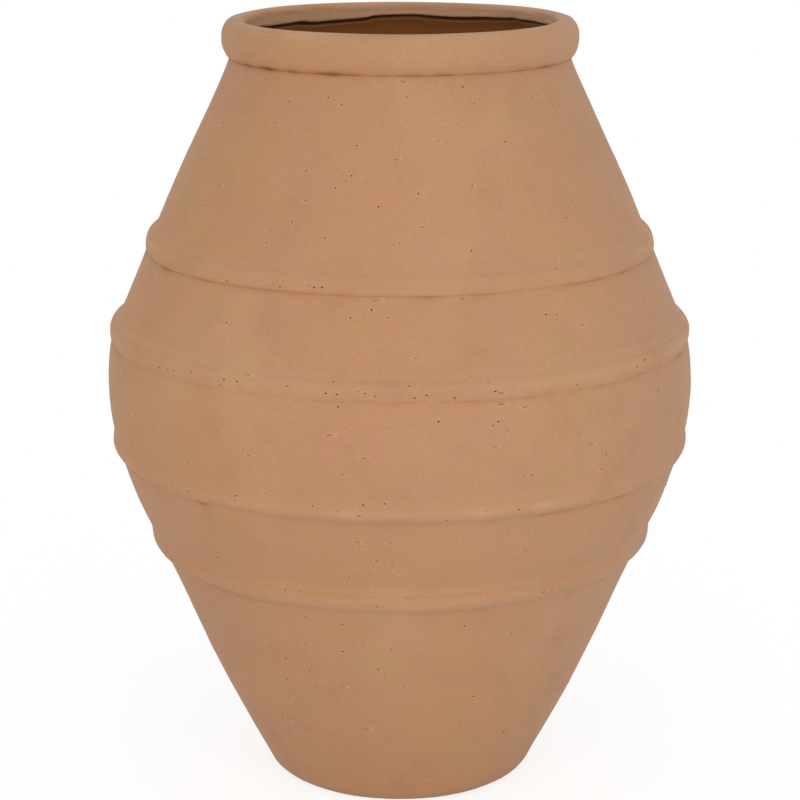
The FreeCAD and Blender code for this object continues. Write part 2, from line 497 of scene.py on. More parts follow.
def mixColour(tree, share, first, second, blend="MIX"):
    sockets = {0: share, 6: first, 7: second}
    return addNode(tree, "ShaderNodeMix", sockets, data_type="RGBA", blend_type=blend).outputs[2]


def clayNoise(tree, place, size, detail=2.0, roughness=0.5, stretch=(1, 1, 1), shift=(0, 0, 0)):
    scale = [1 / (size * s) for s in stretch]
    spot = addNode(tree, "ShaderNodeMapping", {"Vector": place, "Location": shift, "Scale": scale})
    sockets = {"Vector": spot.outputs[0], "Scale": 1.0, "Detail": detail, "Roughness": roughness}
    return addNode(tree, "ShaderNodeTexNoise", sockets).outputs["Fac"]


def spread(tree, value, low, high, toLow=0.0, toHigh=1.0):
    sockets = {"Value": value, "From Min": low, "From Max": high, "To Min": toLow, "To Max": toHigh}
    return addNode(tree, "ShaderNodeMapRange", sockets, clamp=True).outputs["Result"]


def combine(tree, first, second, operation="MULTIPLY"):
    return addNode(tree, "ShaderNodeMath", {0: first, 1: second}, operation=operation).outputs[0]


def meshValue(tree, name):
    # a value that the mesh carries at each point
    return addNode(tree, "ShaderNodeAttribute", attribute_name=name).outputs["Fac"]


def firedColour(tree, place, look, patches):
    def over(colour, mark, low, high, strength, tone):
        return mixColour(tree, spread(tree, mark, low, high, 0, strength), colour, look[tone])

    # broad clouds of colour from the fire, then smaller patches where the clay dried unevenly
    clouds = clayNoise(tree, place, look["cloudSize"], 2.0, 0.45)
    colour = mixColour(tree, spread(tree, clouds, 0.38, 0.62), look["rosy"], look["warm"])
    otherSize = look["cloudSize"] * 0.8
    otherClouds = clayNoise(tree, place, otherSize, 2.5, 0.5, (1, 1, 1.5), (3.7, 1.9, 6.1))
    colour = over(colour, otherClouds, 0.50, 0.72, look["paleClouds"], "pale")
    # the clay turns cooler and paler towards +x, the right side
    sideways = addNode(tree, "ShaderNodeSeparateXYZ", {0: place}).outputs["X"]
    colour = over(colour, sideways, *look["coolSide"], "coolPale")
    colour = over(colour, patches, 0.52, 0.78, look["duskyPatches"], "dusky")
    smears = clayNoise(tree, place, look["smearSize"], 3.0, 0.6, (2.2, 2.2, 1))
    colour = over(colour, smears, 0.55, 0.8, look["paleSmears"], "pale")
    # the hue drifts a little between olive and pink, in hand-wide and in finger-wide blotches
    shifts = {"wideBlotches": (2.3, 8.1, 4.4), "narrowBlotches": (7.7, 0.6, 5.2)}
    for name, shift in shifts.items():
        blotches = clayNoise(tree, place, look[name], 1.5, 0.5, (1, 1, 1), shift)
        tint = mixColour(tree, spread(tree, blotches, 0.36, 0.64), look["olive"], look["blush"])
        colour = mixColour(tree, 1.0, colour, tint, "MULTIPLY")
    # fine specks all over
    specks = clayNoise(tree, place, look["speckSize"], 2.0, 0.7)
    strength = look["speckStrength"]
    shade = spread(tree, specks, 0.3, 0.7, 1 - strength, 1 + strength)
    greyShade = dict.fromkeys(("Red", "Green", "Blue"), shade)
    speckShade = addNode(tree, "ShaderNodeCombineColor", greyShade).outputs[0]
    return mixColour(tree, 1.0, colour, speckShade, "MULTIPLY")


def clayMaterial(name, look):
    material = bpy.data.materials.new(name)
    tree = emptyTree(material)
    place = addNode(tree, "ShaderNodeTexCoord").outputs["Object"]
    patches = clayNoise(tree, place, look["patchSize"], 3.0, 0.55)
    colour = firedColour(tree, place, look, patches)
    # dark and pale grains of sand
    grains = {"Vector": place, "Scale": look["sandPerMetre"]}
    grains = addNode(tree, "ShaderNodeTexVoronoi", grains).outputs
    grainChance = addNode(tree, "ShaderNodeSeparateColor", {0: grains["Color"]}).outputs
    darkSpot = combine(tree, spread(tree, grains["Distance"], 0.10, 0.20, 1, 0),
                       spread(tree, grainChance[0], 0.93, 0.95))
    colour = mixColour(tree, combine(tree, darkSpot, look["darkSand"]), colour, look["dusky"])
    paleSpot = combine(tree, spread(tree, grains["Distance"], 0.12, 0.26, 1, 0),
                       spread(tree, grainChance[1], 0.90, 0.93))
    colour = mixColour(tree, combine(tree, paleSpot, look["paleSand"]), colour, look["pale"])
    # painted shade: the inside is darkened to stand for the shade within the jar
    shadedColour = mixColour(tree, 1.0, colour, look["insideShadeColour"], "MULTIPLY")
    insideShadeColour = mixColour(tree, look["insideShadeOwnShare"], look["insideShadeColour"], shadedColour)
    colour = mixColour(tree, meshValue(tree, "inside"), colour, insideShadeColour)
    # crests, the rim's top, the lip's face and pit rims are paler, from wear and from painted highlights
    # and painted light, and pits, joints and the creases under the lip and the rim are darkened with
    # painted shade
    rubbedAndLit = combine(tree, meshValue(tree, "wornAndLit"), look["rubbedAndLitStrength"])
    colour = mixColour(tree, rubbedAndLit, colour, look["rubbedAndLit"])
    hollowShade = meshValue(tree, "hollowShade")
    colour = mixColour(tree, spread(tree, hollowShade, 0, 0.35), colour, look["seamShadeColour"])
    colour = mixColour(tree, spread(tree, hollowShade, 0.2, 1.0), colour, look["pitShadeColour"])
    # relief too fine for the mesh: grain, small lumps, level scraping lines and sunken sand
    grain = clayNoise(tree, place, look["grainSize"], 3.0, 0.7)
    lumps = clayNoise(tree, place, look["lumpSize"], 3.0, 0.6)
    scrapes = clayNoise(tree, place, look["scrapeSize"], 2.0, 0.6, (26, 26, 1))
    height = combine(tree, grain, look["grainRelief"])
    for mark, relief in ((lumps, "lumpRelief"), (scrapes, "scrapeRelief"), (darkSpot, "sandRelief")):
        height = combine(tree, height, combine(tree, mark, look[relief]), "ADD")
    bump = {"Strength": 1.0, "Distance": look["bump"], "Height": height}
    middle, change = look["roughness"], look["roughnessSpread"]
    shader = addNode(tree, "ShaderNodeBsdfPrincipled", {
        "Base Color": colour,
        "Roughness": spread(tree, patches, 0.3, 0.7, middle - change, middle + change),
        "Specular IOR Level": look["specular"],
        "Sheen Weight": look["sheen"],
        "Normal": addNode(tree, "ShaderNodeBump", bump).outputs[0],
    })
    addNode(tree, "ShaderNodeOutputMaterial", {"Surface": shader.outputs[0]})
    return material


clays = {
    "terracotta_wall": clayMaterial("terracottaWall", terracottaLook),
    "terracotta_bands": clayMaterial("terracottaBands", terracottaLook),
    "terracotta_rim": clayMaterial("terracottaRim", terracottaLook),
    "terracotta_inside": clayMaterial("terracottaInside", insideLook),
}
print("clay colours mixed")

# Outer lines of the five wide rings, as (height, radius), and how many chance pits each has.
# pitsFrom is how far above its foot they start, which leaves out the strip that lies there.
footWall = {
    "line": [(0.020, 0.1456), (0.060, 0.1664), (0.100, 0.1864), (0.140, 0.2046), (0.180, 0.2216),
             (0.220, 0.2385), (0.262, 0.2567)],
    "scattered": 60,
    "widestPit": 3.6,
    "pitsFrom": 0.002,
    "seed": 31,
}
lowerBellyWall = {
    "line": [(0.262, 0.2567), (0.280, 0.2655), (0.300, 0.2748), (0.320, 0.2825), (0.340, 0.2891),
             (0.364, 0.2966)],
    "scattered": 34,
    "widestPit": 3.4,
    "pitsFrom": 0.020,
    "seed": 32,
}
bellyWall = {
    "line": [(0.364, 0.2969), (0.380, 0.3002), (0.400, 0.3031), (0.420, 0.3044), (0.440, 0.3040),
             (0.460, 0.3022), (0.485, 0.2969)],
    "scattered": 44,
    "widestPit": 3.4,
    "pitsFrom": 0.020,
    "seed": 33,
}
shoulderWall = {
    "line": [(0.485, 0.2969), (0.500, 0.2896), (0.520, 0.2808), (0.540, 0.2723), (0.5775, 0.2564)],
    "scattered": 36,
    "widestPit": 3.4,
    "pitsFrom": 0.020,
    "seed": 34,
}
neckWall = {
    "line": [(0.5775, 0.2564), (0.590, 0.2510), (0.620, 0.2383), (0.650, 0.2246), (0.680, 0.2103),
             (0.710, 0.1959), (0.740, 0.1820), (0.7500, 0.1776), (0.7608, 0.1734)],
    "scattered": 60,
    "widestPit": 3.6,
    "pitsFrom": 0.020,
    "seed": 35,
}
wallLooks = [footWall, lowerBellyWall, bellyWall, shoulderWall, neckWall]

# What the rings have in common.
ringLook = {
    "step": 0.0030,  # height of a face outside, and inside
    "innerStep": 0.005,
    "seamRange": 0.0030,  # the skin is finer this far on both sides of a joint
    "seamStep": 0.0005,
    "seamMargin": 0.0008,
    "seamReach": 0.0009,  # painted shade: the dark line of an open joint, and the soft shade under it
    "shadeDrop": 0.0014,
    "shadeReach": 0.0026,
    "seamDark": 0.15,
    "mostDark": 0.8,
    # painted shadow under the rim's roll, on the top of the neck
    "rimSeamReach": 0.0022,
    "rimSeamDark": 0.16,
    "ridgeDepth": 0.0005,  # finger ridges inside
    "ridgeLength": 0.0031,
    "ridgeWaver": 1.5,
    "ridgeEnd": 0.01,
    "pitsTo": 0.002,  # how far under the joint the pits stop
    "frontShare": 0.25,  # how many of the chance pits the front keeps
}

# The camera stands where the picture was taken from, looking a little down on the jar.
cameraLook = {
    "place": (0.0, -2.4963, 1.0474),
    "lookDown": 14.57,  # degrees below level
    "lens": 109.94,
    "shiftX": 0.0002,
    "focalPixels": 2443.0,  # the lens and the middle of the picture, in pixels of the photo
    "middlePixel": 399.4,
}

# Pits seen on the front, in three kinds: width and depth in mm, how flat they are, and where
# they are in the photo, as pixels from its left and top edges.
seenPits = {
    "deep": {
        "width": 2.3, "depth": 1.3, "flat": 0.8,
        "places": [
            (462, 86), (288, 101), (328, 97), (565, 106), (514, 186), (378, 206), (325, 237),
            (293, 270), (315, 286), (323, 286), (371, 309), (387, 317), (546, 314), (557, 314),
            (124, 370), (171, 368), (177, 369), (195, 370), (226, 378), (239, 380), (265, 394),
            (326, 392), (337, 393), (414, 397), (426, 394), (454, 397), (494, 390), (438, 421),
            (498, 421), (606, 454), (128, 460), (144, 475), (212, 535), (217, 557), (349, 577),
            (275, 639), (286, 679),
        ],
    },
    "soft": {
        "width": 2.8, "depth": 0.7, "flat": 0.85,
        "places": [
            (406, 96), (356, 145), (505, 141), (583, 165), (351, 175), (472, 185), (418, 193),
            (204, 204), (566, 217), (292, 221), (266, 242), (399, 242), (471, 250), (350, 317),
            (226, 322), (162, 366), (338, 406), (492, 425), (658, 390), (532, 475), (190, 490),
            (363, 504), (446, 519), (517, 508), (201, 585), (214, 609), (377, 604), (305, 617),
            (270, 645), (305, 644), (285, 658), (391, 649), (309, 671), (315, 686), (343, 651),
            (404, 687), (378, 669),
        ],
    },
    "faint": {
        "width": 4.2, "depth": 0.35, "flat": 0.6,
        "places": [
            (341, 104), (306, 170), (335, 187), (365, 392), (375, 395), (359, 514), (376, 560),
            (342, 624), (342, 651), (362, 700), (289, 697), (282, 715),
        ],
    },
}
wallLine = sorted(sum((wall["line"] for wall in wallLooks), []))


def spotOnWall(across, down):
    # azimuth in degrees and height in m of the spot of the wall that the photo shows at a pixel
    aside = (across - cameraLook["middlePixel"]) / cameraLook["focalPixels"]
    above = (cameraLook["middlePixel"] - down) / cameraLook["focalPixels"]
    dip = math.radians(cameraLook["lookDown"])
    forth, rise = math.cos(dip) + above * math.sin(dip), above * math.cos(dip) - math.sin(dip)
    startX, startY, startZ = cameraLook["place"]
    far = np.arange(1.9, 2.9, 0.0002)  # metres along the line of sight
    x, y, z = startX + far * aside, startY + far * forth, startZ + far * rise
    first = np.argmax(np.hypot(x, y) < np.interp(z, *np.array(wallLine).T))
    return math.degrees(math.atan2(x[first], -y[first])), z[first]


frontPits = [(*spotOnWall(*place), kind["width"], kind["depth"], kind["flat"])
             for kind in seenPits.values() for place in kind["places"]]

# How the joints open and how their chips fall, for the strips and for the joint under the rim.
jointLook = {
    "frontHalf": 70,  # in degrees: the tables hold this far round, and fade out over the blend
    "blend": 12,
    "slowLumps": (17, 0.45),  # lumps round the jar and their strength
    "quickLumps": (120, 0.40),
    "middle": 0.5,
    "range": (0.03, 2.2),
    "chipHalfWidths": (0.004, 0.013),  # in radians
    "chipLoss": (0.3, 1.0),
    "chipFullness": 1.4,
}
# for the joint under the rim, gape sets only how dark its painted shadow is
rimSeam = {
    "seed": 25,
    "gape": [(-65, 1.8), (-58, 2.2), (-51, 1.5), (-40, 0.95), (-30, 1.4), (-22, 1.3), (-12, 0.8),
             (-3, 0.7), (5, 0.75), (15, 0.85), (23, 0.65), (34, 0.5), (42, 0.7), (50, 1.4), (58, 1.4)],
}


def bandChips(look):
    # how much of a strip's lower edge is knocked off, from 0 to 1
    chance = np.random.default_rng(look["seed"] + seedSteps["chips"])
    loss = np.zeros_like(around)
    for chip in range(look["chips"]):
        centre = chance.uniform(0, 2 * math.pi)
        half = chance.uniform(*jointLook["chipHalfWidths"])
        gap = np.abs((around - centre + math.pi) % (2 * math.pi) - math.pi)
        shape = np.clip(jointLook["chipFullness"] * (1 - (gap / half) ** 2), 0, 1)
        loss = np.maximum(loss, chance.uniform(*jointLook["chipLoss"]) * shape)
    return loss


def alongJoint(look, what):
    # gape or rubbed of a joint at each azimuth: from its table over the front, by chance behind
    slowLumps, slowStrength = jointLook["slowLumps"]
    quickLumps, quickStrength = jointLook["quickLumps"]
    slow = roundTheJar(look["seed"] + seedSteps["alongJoint"], slowLumps)
    byChance = jointLook["middle"] + slowStrength * slow
    fromTable = np.interp(aroundDegrees, *np.array(look[what], float).T)
    front = np.clip((jointLook["frontHalf"] - np.abs(aroundDegrees)) / jointLook["blend"], 0, 1)
    quick = roundTheJar(look["seed"] + seedSteps["quickAlong"], quickLumps)
    mixed = np.clip(front * fromTable + (1 - front) * byChance, *jointLook["range"])
    return mixed * (1 + quickStrength * quick)


def makeWall(name, look, bandAbove):
    line = smoothLine(look["line"])
    bottom, top = look["line"][0][0], look["line"][-1][0]
    heights = np.linspace(bottom, top, round((top - bottom) / ringLook["step"]) + 1)
    if bandAbove:
        reach, step = ringLook["seamRange"], ringLook["seamStep"]
        near = np.arange(-reach, reach + step / 5, step) + bandAbove["low"]
        margin = ringLook["seamMargin"]
        heights = heights[(heights < near[0] - margin) | (heights > near[-1] + margin)]
        heights = np.sort(np.concatenate([heights, near]))
    outerHeight = heights[:, None] + 0 * around
    outerRadius, outerShift = handMade(line(outerHeight), outerHeight)
    if bandAbove:
        fromJoint = outerHeight - bandAbove["low"]
        gape = alongJoint(bandAbove, "gape")
        deep = bell(fromJoint, 0, ringLook["seamReach"]) * gape
        soft = bell(fromJoint + ringLook["shadeDrop"], 0, ringLook["shadeReach"]) * gape
        outerRadius = outerRadius - bandAbove["groove"] * deep
        # painted shade along the open joint and under the strip
        hollowShade = ringLook["seamDark"] * deep + ringLook["seamDark"] * soft
        hollowShade = np.clip(hollowShade, 0, ringLook["mostDark"])
    else:
        # painted shadow under the rim's roll
        hollowShade = ringLook["rimSeamDark"] * bell(outerHeight, top, ringLook["rimSeamReach"])
        hollowShade = hollowShade * alongJoint(rimSeam, "gape")
    # the inside keeps the ridges that the fingers left while the ring was drawn up
    innerRings = round((top - bottom) / ringLook["innerStep"]) + 1
    innerHeight = np.linspace(top, bottom, innerRings)[:, None] + 0 * around
    tilt, _ = outwards(line, innerHeight)
    waver = ringLook["ridgeWaver"] * outOfRound(around + 1, innerHeight)
    ridges = ringLook["ridgeDepth"] * np.sin(innerHeight / ringLook["ridgeLength"] + waver)
    fromEnd = np.minimum(innerHeight - bottom, top - innerHeight)
    ends = np.minimum(1, fromEnd / ringLook["ridgeEnd"])
    inner = line(innerHeight) - clayBody["wall"] / tilt + ridges * ends
    innerRadius, _ = handMade(inner, innerHeight)
    # the inner face takes the painted shade of the inside
    piece = ringPiece(name, np.vstack([outerRadius, innerRadius]), np.vstack([outerShift, innerHeight]),
                      np.vstack([hollowShade, 0 * innerRadius]), 0.0,
                      np.vstack([0 * hollowShade, insideShade(innerHeight)]))
    lowest = bottom + look["pitsFrom"]
    highest = (bandAbove["low"] if bandAbove else top) - ringLook["pitsTo"]
    pits = [pit for pit in frontPits if lowest < pit[1] < highest]
    pits += scatteredPits(look["seed"], look["scattered"], lowest, highest, look["widestPit"],
                          ringLook["frontShare"])
    pits += scuffs(look["seed"], look["scattered"], lowest, highest)
    carvePits(piece, pits, look["seed"])
    return piece


def makeBand(name, look, below, above):
    lineBelow, lineAbove = smoothLine(below["line"]), smoothLine(above["line"])
    joint = above["line"][0][0]

    def wallAt(height):
        return np.where(height < joint, lineBelow(height), lineAbove(height))

    # up the face of the strip, from its lower edge to where it melts into the wall
    rings = [np.array(stripLook["edgeRings"]), np.linspace(*stripLook["evenRings"])]
    up = np.concatenate(rings)[:, None] + 0 * around
    crest, sink = look["crest"], stripLook["topSink"]
    rising = np.clip(1 - ((crest - up) / crest) ** 2, 0, 1) ** look["edge"]
    pastCrest = np.clip((up - crest) / (1 - crest), 0, 1)
    falling = 0.5 + (0.5 + sink) * np.cos(math.pi * pastCrest**0.9) - sink
    full = np.where(up < crest, rising, falling)
    chips = bandChips(look)
    chipCut = stripLook["chipDepth"] * chips * bell(up, *stripLook["chipCut"])
    chipped = full - chipCut * np.clip(up / 0.01, 0, 1)
    lumps, strength = stripLook["thicknessLumps"]
    thickness = 1 + strength * roundTheJar(look["seed"] + seedSteps["thickness"], lumps)
    height = look["low"] + up * (look["high"] - look["low"])
    tilt, rise = outwards(wallAt, height)
    stand = look["relief"] * thickness * chipped
    radius, high = handMade(wallAt(height), height)
    radius, high = radius + stand * tilt, high + stand * rise
    wornAndLit = bell(up, *stripLook["edgeWorn"]) * np.clip(0.5 + 0.6 * handDents(around, height), 0, 1)
    chipPale = chips * bell(up, *stripLook["chipWorn"]) * stripLook["chipPale"]
    wornAndLit = np.maximum(wornAndLit * stripLook["edgePale"], chipPale)
    # the crest is paler, from wear and a painted highlight
    rubbedAndLit = alongJoint(look, "rubbedAndLit") * bell(up, *stripLook["rubbedAndLitAt"])
    wornAndLit = np.maximum(wornAndLit, rubbedAndLit)
    # painted light near the top, where the strip meets the wall
    wornAndLit = np.maximum(wornAndLit, look["litTop"] * bell(up, *stripLook["litTopAt"]))
    # painted shade along the lower edge, and a painted shade line near the top on the front
    seam = stripLook["seamDark"] * bell(up, *stripLook["seamAt"]) * alongJoint(look, "gape")
    topShadeLine = look["topShadeLine"] * bell(up, *stripLook["topShadeLineAt"]) * np.clip(np.cos(around), 0, 1)
    hollowShade = np.clip(seam + topShadeLine, 0, stripLook["mostDark"])
    # the back of the strip is pressed into the wall
    backUp = np.array(stripLook["backRings"])[:, None] + 0 * around
    backHeight = look["low"] + backUp * (look["high"] - look["low"])
    backRadius = wallAt(backHeight) - stripLook["backDepth"]
    backRadius, backHigh = handMade(backRadius, backHeight)
    zeros = 0 * backRadius
    piece = ringPiece(name, np.vstack([radius, backRadius]), np.vstack([high, backHigh]),
                      np.vstack([hollowShade, zeros]), np.vstack([wornAndLit, zeros]))

    def within(inset):
        return look["low"] + inset[0], look["high"] - inset[1]

    lowest, highest = within(stripLook["seenInset"])
    pits = [pit for pit in frontPits if lowest < pit[1] < highest]
    pits += scatteredPits(look["seed"], look["chips"], *within(stripLook["pitInset"]),
                          stripLook["widestPit"], stripLook["frontShare"])
    pits += scuffs(look["seed"], look["chips"] // 2, *within(stripLook["scuffInset"]))
    carvePits(piece, pits, look["seed"])
    return piece


# The rings from the ground up, each with the strip over its upper joint.
jarRings = [
    ("foot", "foot", footWall, footBand),
    ("lowerBelly", "lower_belly", lowerBellyWall, lowerBellyBand),
    ("belly", "belly", bellyWall, bellyBand),
    ("shoulder", "shoulder", shoulderWall, shoulderBand),
    ("neck", "neck", neckWall, None),
]
for name, node, look, bandAbove in jarRings:
    wall = makeWall(name + "Wall", look, bandAbove)
    finishPiece(wall, node + "_strake", "terracotta_wall")
print("walls built")

for (name, node, below, look), (_, _, above, _) in zip(jarRings, jarRings[1:]):
    strip = makeBand(name + "Band", look, below, above)
    finishPiece(strip, node + "_band", "terracotta_bands")
print("bands laid over the joints")

# Coils pressed over the joints from inside, dented by the fingers.
seamCoils = {
    "width": 0.024,
    "relief": 0.0036,
    "rings": 15,
    "fingers": 46,
    "dent": 0.35,
    "lumps": 0.0006,
    "sink": 0.0003,  # how far its edges go under the wall's skin
    "backDepth": 0.004,
    "handShare": 0.5,  # how much of the wall's dents it has
    "seed": 70,
}


def makeSeamCoil(name, below, above, look, seed):
    lineBelow, lineAbove = smoothLine(below["line"]), smoothLine(above["line"])
    joint = above["line"][0][0]

    def wallAt(height):
        line = np.where(height < joint, lineBelow(height), lineAbove(height))
        tiltBelow, tiltAbove = outwards(lineBelow, height)[0], outwards(lineAbove, height)[0]
        return line - clayBody["wall"] / np.where(height < joint, tiltBelow, tiltAbove)

    up = np.linspace(1, 0, look["rings"])[:, None] + 0 * around
    height = joint + (up - 0.5) * look["width"]
    waver = 2 * handDents(around, 0.3 + 0 * around)
    press = 1 - look["dent"] * (0.5 + 0.5 * np.sin(look["fingers"] * around + waver))
    swell = 1 - (2 * up - 1) ** 2
    stand = look["relief"] * press * swell - look["sink"]
    lumps = clayField(seed, 60, 30)(around, height * 6 % clayBody["height"])
    stand = stand + look["lumps"] * lumps * swell
    radius, high = handMade(wallAt(height) - stand, height, look["handShare"])
    back = np.array([0.0, 0.5, 1.0])[:, None] + 0 * around
    backHeight = joint + (back - 0.5) * look["width"]
    backRadius = wallAt(backHeight) + look["backDepth"]
    backRadius, backHigh = handMade(backRadius, backHeight, look["handShare"])
    heights = np.vstack([high, backHigh])
    # the painted shade of the inside, as on the wall
    return ringPiece(name, np.vstack([radius, backRadius]), heights, 0.0, 0.0, insideShade(heights))


for number, (name, node, below, _) in enumerate(jarRings[:-1]):
    above, seed = jarRings[number + 1][2], seamCoils["seed"] + number
    coil = makeSeamCoil(name + "SeamCoil", below, above, seamCoils, seed)
    finishPiece(coil, node + "_seam_coil", "terracotta_inside")
print("seam coils pressed in")

# The floor and the rounded foot, from the middle of the underside out and up, then back in.
floorDisc = {
    "foot": [(0.1235, 0.0), (0.1283, 0.0008), (0.1329, 0.0028), (0.1371, 0.0060), (0.1406, 0.0102),
             (0.1432, 0.0152), (0.1456, 0.0200)],
    "footStep": 0.0022,
    "thickness": 0.020,
    "hollowUnder": 0.0006,  # how far the middle of the underside is off the ground
    "underside": (0.004, 0.1185, 34),  # radius from, radius to, rings
    "topside": (0.141, 0.004, 36),
    "ridgeHeight": 0.0004,
    "ridgeLength": 0.0035,
    "sideFrom": 0.124,  # from this radius out the foot is as uneven as the wall
    "roughness": 0.00025,
    "roughFrom": 0.006,
    "footWorn": (0.130, 0.006),  # radius and reach
    "wornBelow": 0.008,
    "wornPale": 0.8,
    "pits": 26,
    "pitHeights": (0.004, 0.018),
    "widestPit": 2.6,
    "seed": 92,
    "roughSeed": 91,
}


def makeFloor(look):
    flatRadius = look["foot"][0][0]
    under = np.array([(r, look["hollowUnder"] * (1 - (r / flatRadius) ** 4))
                      for r in np.linspace(*look["underside"])])
    edge = curveThrough(look["foot"], look["footStep"])
    top = np.array([(r, look["thickness"] + look["ridgeHeight"] * math.sin(r / look["ridgeLength"]))
                    for r in np.linspace(*look["topside"])])
    top[0, 1] = look["thickness"]
    section = np.vstack([under, edge, top])
    row = np.arange(len(section))[:, None]
    onTop = row >= len(under) + len(edge)
    radius, height = section[:, :1] + 0 * around, section[:, 1:] + 0 * around
    onSide = np.clip((radius - look["sideFrom"]) / 0.01, 0, 1) * ~onTop
    unevenRadius, _ = handMade(radius, height)
    radius = radius + (unevenRadius - radius) * onSide
    rough = clayField(look["roughSeed"], 60, 60)(around, radius * 5 % clayBody["height"])
    rough = look["roughness"] * rough
    isUnder = (row < len(under)) & (radius > look["roughFrom"])
    height = height + np.where(isUnder, np.abs(rough), 0)
    wornAndLit = bell(radius, *look["footWorn"]) * (height < look["wornBelow"]) * look["wornPale"]
    # painted shade on the floor's top, inside the jar
    floorShade = onTop * insideShade(height)
    piece = ringPiece("floorDisc", radius, height, 0.0, wornAndLit, floorShade, closed=False)
    closeEnds(piece)
    pits = scatteredPits(look["seed"], look["pits"], *look["pitHeights"], look["widestPit"])
    carvePits(piece, pits, look["seed"])
    return piece


finishPiece(makeFloor(floorDisc), "floor_disc", "terracotta_wall")

# The coil in the angle between the floor and the wall, pressed down by the thumb.
floorCoil = {
    "leg": 0.022,
    "hollow": 0.0035,
    "rings": 14,
    "thumbs": 34,
    "thumbDepth": 0.0011,
    "wallShare": 1.1,  # the wall's thickness, measured level
    "sink": 0.0004,  # how far its toe is under the floor's skin
    "backDepth": 0.002,
}


def makeFloorCoil(look):
    line = smoothLine(footWall["line"])
    base = floorDisc["thickness"]
    endHeight = base + look["leg"]
    wall = clayBody["wall"] * look["wallShare"]
    startRadius = line(base + 0 * around) - wall - look["leg"]
    endRadius = line(endHeight + 0 * around) - wall
    along = np.linspace(0, 1, look["rings"])[:, None] + 0 * around
    thumb = look["thumbDepth"] * np.sin(look["thumbs"] * around) * np.sin(math.pi * along)
    sag = look["hollow"] * 4 * along * (1 - along) + thumb
    radius = startRadius + (endRadius - startRadius) * along + sag * 0.7
    height = base - look["sink"] + (endHeight - base) * along - sag * 0.7
    # behind the coil: from its top edge down into the corner, then out to its toe
    start, end, back = startRadius[0, 0], endRadius[0, 0], base - look["backDepth"]
    backRadius = np.array([end + 0.003, start + look["leg"] + 0.004, start])[:, None]
    backHeight = np.array([endHeight, back, back])[:, None]
    radius = np.vstack([radius, backRadius + 0 * around])
    height = np.vstack([height, backHeight + 0 * around])
    # the painted shade of the inside, as on the wall
    return ringPiece("floorCoil", radius, height, 0.0, 0.0, insideShade(height))


finishPiece(makeFloorCoil(floorCoil), "floor_coil", "terracotta_inside")
print("floor laid")

# The rolled rim: its section as (radius, height), from the joint outside over the top and back.
# lipDrop is how far the lip's lower edge hangs down, in mm, by azimuth in degrees.
rimLook = {
    "outside": [(0.1732, 0.7608), (0.1757, 0.7628), (0.1786, 0.7672), (0.1807, 0.7730), (0.1815, 0.7802),
                (0.1810, 0.7868), (0.1792, 0.7930), (0.1757, 0.7979), (0.1715, 0.7998), (0.1675, 0.8000),
                (0.1632, 0.7996), (0.1602, 0.7982), (0.1586, 0.7955), (0.1583, 0.7920), (0.1583, 0.7885),
                (0.1589, 0.7868), (0.1612, 0.7864), (0.1640, 0.7856), (0.1660, 0.7830), (0.1664, 0.7790),
                (0.1645, 0.7720), (0.1622, 0.7660), (0.1602, 0.7608)],
    "step": 0.0011,
    "lipDrop": [(-180, -0.8), (-173, -0.2), (-170, 0.0), (-167, 1.8), (-160, 3.4), (-154, 4.0),
                (-147, 5.2), (-143, 4.8), (-139, 3.2), (-130, 3.2), (-121, 3.8), (-105, 1.5), (-60, 0),
                (60, 0), (110, -1.0), (128, -0.8), (132, -1.8), (136, -1.0), (144, -0.5), (151, 0.5),
                (161, 0.5), (168, 0.0), (180, -0.8)],
    "lipRagged": 0.0003,
    "lipEdge": (0.7866, 0.0050),  # pairs like this one are a height and a reach
    "lipTop": 0.7930,
    "lipRadius": 0.1665,  # the lip is inside this radius
    "foot": 0.757,  # the wobble grows and the lumps start from this height up
    "wobble": 0.0004,
    "lumps": 0.00022,
    "outerRadius": 0.17,  # the rim's outer side is outside this radius
    # painted shadow along the joint under the roll: a line and a softer shade
    "seamLine": (0.7610, 0.0018),
    "seamLineDark": 0.20,
    "seamShade": (0.7622, 0.0034),
    "seamShadeDark": 0.16,
    # painted shade on the inside of the rim: from this radius in, and from this height down
    "insideShadeRadius": 0.1668,
    "insideShadeFrom": 0.7868,
    "lipShadowFrom": 0.7800,  # painted shadow in the hollow right under the lip
    "lipShadowReach": 0.0040,
    # the top is paler from wear and a painted highlight, and the lip's inner face gets painted light
    "topWornAndLit": (0.798, 0.005),
    "topPaleAndLit": 0.25,
    "lipLitAt": (0.7895, 0.0046),
    "lipFaceRadius": 0.1615,
    "lipLight": 1.7,
    "scattered": 30,
    "pitHeights": (0.766, 0.795),
    "widestPit": 2.4,
    "frontShare": 0.5,
    "seed": 99,
    "wobbleSeed": 95,
    "lumpSeed": 96,
    "lipSeed": 97,
}


